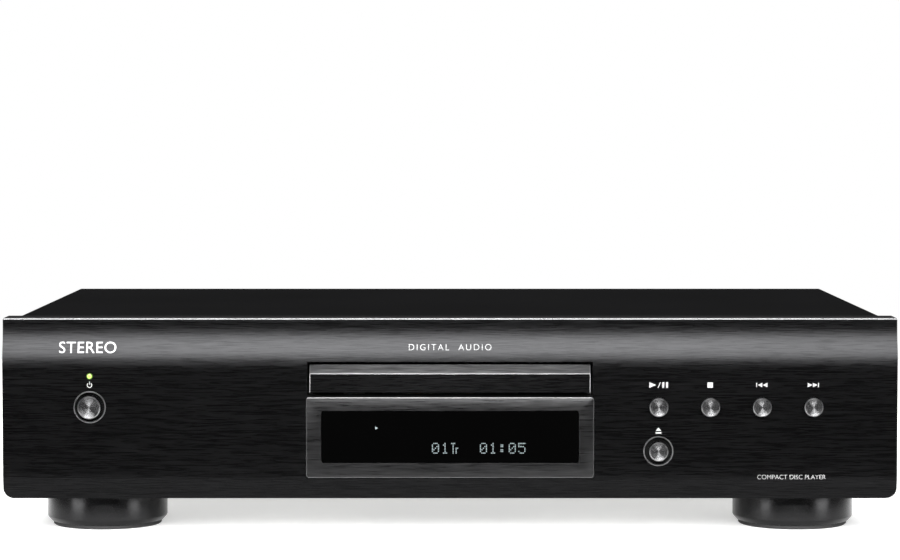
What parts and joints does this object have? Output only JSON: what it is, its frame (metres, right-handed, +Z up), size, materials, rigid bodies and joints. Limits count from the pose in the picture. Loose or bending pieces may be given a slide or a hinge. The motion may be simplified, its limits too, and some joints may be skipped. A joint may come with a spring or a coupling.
{
  "type": "disc player",
  "caption": "Full-width disc player: metal case on round feet, curved front panel, sliding disc tray, display window, push buttons, inner loader, pickup, boards and transformer.",
  "frame": {"origin": "middle of the case's footprint, on the surface that it stands on", "axes": "+X to the right seen from the front, +Y to the rear, +Z up; the front panel faces -Y"},
  "size_m": [0.434, 0.275, 0.107],
  "materials": {
    "black_steel": "satin",
    "zinc_steel": "satin",
    "panel_black": "brushed",
    "black_plastic": "matte",
    "bezel_grey": "brushed",
    "smoked_window": "gloss",
    "display_glass": "gloss",
    "lamp_green": "clear",
    "button_metal": "turned",
    "bright_metal": "satin",
    "foot_metal": "satin",
    "pad_rubber": "matte",
    "board_green": "satin",
    "white_gear": "satin",
    "motor_steel": "satin",
    "lens_glass": "clear",
    "copper_winding": "taped",
    "core_steel": "laminated",
    "sink_metal": "anodised",
    "screw_steel": "satin",
    "gold_contact": "polished",
    "brass_post": "satin"
  },
  "bodies": {
    "chassis": {"ac_inlet": "black_plastic", "capacitors": "black_plastic", "chassis_base": "zinc_steel", "chassis_screws": "screw_steel", "chips": "black_plastic", "clamp_bridge": "zinc_steel", "cover_screws": "screw_steel", "damper_bushes": "pad_rubber", "display_bezel": "bezel_grey", "display_module": "display_glass", "display_window": "smoked_window", "eject_ring": "bright_metal", "foot_front_left": "foot_metal", "foot_front_right": "foot_metal", "foot_pads": "pad_rubber", "foot_rear_left": "foot_metal", "foot_rear_right": "foot_metal", "foot_screws": "screw_steel", "front_board": "board_green", "front_frame": "black_plastic", "front_panel": "panel_black", "heat_sink": "sink_metal", "loader_frame": "black_plastic", "loading_belt": "pad_rubber", "loading_motor": "motor_steel", "main_board": "board_green", "optical_output": "black_plastic", "power_lamp": "lamp_green", "power_ring": "bright_metal", "rca_jacks": "gold_contact", "rear_panel": "black_steel", "standoff_posts": "brass_post", "tact_switches": "black_plastic", "top_cover": "black_steel", "transformer_core": "core_steel", "transformer_windings": "copper_winding"},
    "tray": {"disc_tray": "black_plastic", "tray_door": "bezel_grey"},
    "drive_gear": {"drive_gear": "white_gear"},
    "pulley_gear": {"pulley_gear": "white_gear"},
    "motor_pulley": {"motor_pulley": "white_gear"},
    "cam_slider": {"cam_slider": "white_gear"},
    "clamp_puck": {"clamp_puck": "black_plastic"},
    "traverse": {"traverse_frame": "zinc_steel", "guide_rods": "bright_metal", "spindle_motor": "motor_steel", "sled_motor": "motor_steel"},
    "turntable": {"turntable": "black_plastic"},
    "sled": {"pickup_sled": "black_plastic"},
    "lens": {"objective_lens": "lens_glass"},
    "sled_gear": {"sled_gear": "white_gear"},
    "sled_pinion": {"sled_pinion": "white_gear"},
    "play_pause_button": {"play_pause_button": "button_metal"},
    "stop_button": {"stop_button": "button_metal"},
    "previous_button": {"previous_button": "button_metal"},
    "next_button": {"next_button": "button_metal"},
    "eject_button": {"eject_button": "button_metal"},
    "power_button": {"power_button": "button_metal"}
  },
  "joints": [
    {"name": "tray_slide", "type": "slide", "parent": "chassis", "child": "tray", "axis": [0, -1, 0], "range_m": [0, 0.14]},
    {"name": "drive_gear_spin", "type": "hinge", "parent": "chassis", "child": "drive_gear", "pos_m": [-0.048, -0.098, 0.0625], "axis": [0, 0, 1], "range_deg": [0, 1004.68]},
    {"name": "pulley_gear_spin", "type": "hinge", "parent": "chassis", "child": "pulley_gear", "pos_m": [-0.048, -0.0812, 0.056], "axis": [0, 0, 1], "range_deg": [-2508.69, 0]},
    {"name": "motor_pulley_spin", "type": "hinge", "parent": "chassis", "child": "motor_pulley", "pos_m": [-0.048, -0.04, 0.056], "axis": [0, 0, 1], "range_deg": [-7650.62, 0]},
    {"name": "traverse_lift", "type": "hinge", "parent": "chassis", "child": "traverse", "pos_m": [0, 0.044, 0.06675], "axis": [1, 0, 0], "range_deg": [0, 3.6]},
    {"name": "cam_slide", "type": "slide", "parent": "chassis", "child": "cam_slider", "axis": [1, 0, 0], "range_m": [-0.0002, 0.0142]},
    {"name": "turntable_spin", "type": "hinge", "parent": "traverse", "child": "turntable", "pos_m": [0, -0.052, 0.0795], "axis": [0, 0, 1], "continuous": true},
    {"name": "clamp_puck_spin", "type": "hinge", "parent": "chassis", "child": "clamp_puck", "pos_m": [0, -0.052, 0.0836], "axis": [0, 0, 1], "continuous": true},
    {"name": "sled_slide", "type": "slide", "parent": "traverse", "child": "sled", "axis": [0, 1, 0], "range_m": [0, 0.036]},
    {"name": "sled_gear_spin", "type": "hinge", "parent": "traverse", "child": "sled_gear", "pos_m": [0.0266, -0.01, 0.0675], "axis": [0, 0, 1], "range_deg": [-431.72, 0]},
    {"name": "sled_pinion_spin", "type": "hinge", "parent": "traverse", "child": "sled_pinion", "pos_m": [0.0266, 0.0052, 0.0675], "axis": [0, 0, 1], "range_deg": [0, 738.66]},
    {"name": "lens_focus", "type": "slide", "parent": "sled", "child": "lens", "axis": [0, 0, 1], "range_m": [-0.0004, 0.0004], "stiffness_N_per_m": 60},
    {"name": "play_pause_press", "type": "slide", "parent": "chassis", "child": "play_pause_button", "axis": [0, 1, 0], "range_m": [0, 0.0008], "stiffness_N_per_m": 400, "springref_m": -0.0008},
    {"name": "stop_press", "type": "slide", "parent": "chassis", "child": "stop_button", "axis": [0, 1, 0], "range_m": [0, 0.0008], "stiffness_N_per_m": 400, "springref_m": -0.0008},
    {"name": "previous_press", "type": "slide", "parent": "chassis", "child": "previous_button", "axis": [0, 1, 0], "range_m": [0, 0.0008], "stiffness_N_per_m": 400, "springref_m": -0.0008},
    {"name": "next_press", "type": "slide", "parent": "chassis", "child": "next_button", "axis": [0, 1, 0], "range_m": [0, 0.0008], "stiffness_N_per_m": 400, "springref_m": -0.0008},
    {"name": "eject_press", "type": "slide", "parent": "chassis", "child": "eject_button", "axis": [0, 1, 0], "range_m": [0, 0.0008], "stiffness_N_per_m": 400, "springref_m": -0.0008},
    {"name": "power_press", "type": "slide", "parent": "chassis", "child": "power_button", "axis": [0, 1, 0], "range_m": [0, 0.0008], "stiffness_N_per_m": 400, "springref_m": -0.0008}
  ],
  "couplings": [
    {"joint": "drive_gear_spin", "follows": "tray_slide", "rad_per_m": 125},
    {"joint": "pulley_gear_spin", "follows": "tray_slide", "rad_per_m": -312.5},
    {"joint": "motor_pulley_spin", "follows": "tray_slide", "rad_per_m": -953.53},
    {"joint": "cam_slide", "follows": "traverse_lift", "m_per_rad": 0.22282},
    {"joint": "clamp_puck_spin", "follows": "turntable_spin", "ratio": 1},
    {"joint": "sled_gear_spin", "follows": "sled_slide", "rad_per_m": -208.33},
    {"joint": "sled_pinion_spin", "follows": "sled_slide", "rad_per_m": 357.14}
  ]
}
